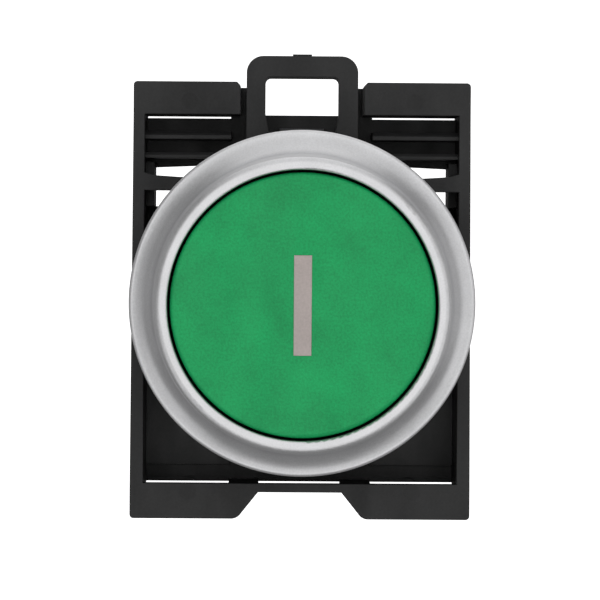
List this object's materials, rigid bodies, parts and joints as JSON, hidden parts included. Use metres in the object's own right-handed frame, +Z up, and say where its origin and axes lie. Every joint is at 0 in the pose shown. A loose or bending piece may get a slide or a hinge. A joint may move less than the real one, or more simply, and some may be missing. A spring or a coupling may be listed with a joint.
{
  "type": "industrial push button",
  "caption": "Round push button with a silver ring and a green cap for a panel hole, with a plastic mounting adapter, a lock tab and a contact block behind the panel.",
  "frame": {"origin": "centre of the gasket's rear face, on the button axis, in the panel's front plane", "axes": "+Y into the panel and out at the rear, +Z up towards the lock tab, +X right as seen by the user"},
  "size_m": [0.0304, 0.0472, 0.0414],
  "materials": {
    "satin_metal": "satin",
    "green_plastic": "fine matte grain",
    "pale_ink": "matte",
    "black_plastic": "matte",
    "adapter_plastic": "matte moulded",
    "block_plastic": "matte moulded",
    "plunger_plastic": "matte",
    "seal_rubber": "matte",
    "spring_steel": "bright drawn wire",
    "contact_brass": "rolled strip",
    "tip_silver": "satin",
    "plated_steel": "zinc plated"
  },
  "bodies": {
    "base": {"bezel_ring": "satin_metal", "button_housing": "black_plastic", "panel_gasket": "seal_rubber", "ring_nut": "black_plastic", "adapter_frame": "adapter_plastic", "lock_spring_left": "spring_steel", "lock_spring_right": "spring_steel", "contact_housing": "block_plastic", "contact_cover": "block_plastic", "fixed_tip_top": "tip_silver", "fixed_tip_bottom": "tip_silver", "fixed_contact_top": "contact_brass", "fixed_contact_bottom": "contact_brass", "clamp_plate_top": "plated_steel", "clamp_plate_bottom": "plated_steel", "terminal_screw_top": "plated_steel", "terminal_screw_bottom": "plated_steel", "return_spring": "spring_steel", "plunger_spring": "spring_steel", "bridge_spring": "spring_steel"},
    "button": {"button_cap": "green_plastic", "cap_mark": "pale_ink", "button_carrier": "black_plastic", "stem_seal": "seal_rubber", "press_plate": "black_plastic"},
    "lock": {"lock_slide": "adapter_plastic"},
    "plunger": {"contact_plunger": "plunger_plastic"},
    "bridge": {"contact_bridge": "contact_brass", "bridge_tip_top": "tip_silver", "bridge_tip_bottom": "tip_silver"}
  },
  "joints": [
    {"name": "button_press", "type": "slide", "parent": "base", "child": "button", "axis": [0, 1, 0], "range_m": [0, 0.004], "stiffness_N_per_m": 600, "springref_m": -0.006, "deforming": ["return_spring"]},
    {"name": "plunger_press", "type": "slide", "parent": "base", "child": "plunger", "axis": [0, 1, 0], "range_m": [0, 0.004], "deforming": ["plunger_spring", "bridge_spring"]},
    {"name": "bridge_close", "type": "slide", "parent": "base", "child": "bridge", "axis": [0, 1, 0], "range_m": [0, 0.0024]},
    {"name": "lock_lift", "type": "slide", "parent": "base", "child": "lock", "axis": [0, 0, 1], "range_m": [0, 0.0012], "stiffness_N_per_m": 800, "springref_m": -0.0015, "deforming": ["lock_spring_left", "lock_spring_right"]}
  ],
  "couplings": [
    {"joint": "plunger_press", "follows": "button_press", "ratio": 1},
    {"joint": "bridge_close", "follows": "button_press", "ratio": 0.6}
  ]
}
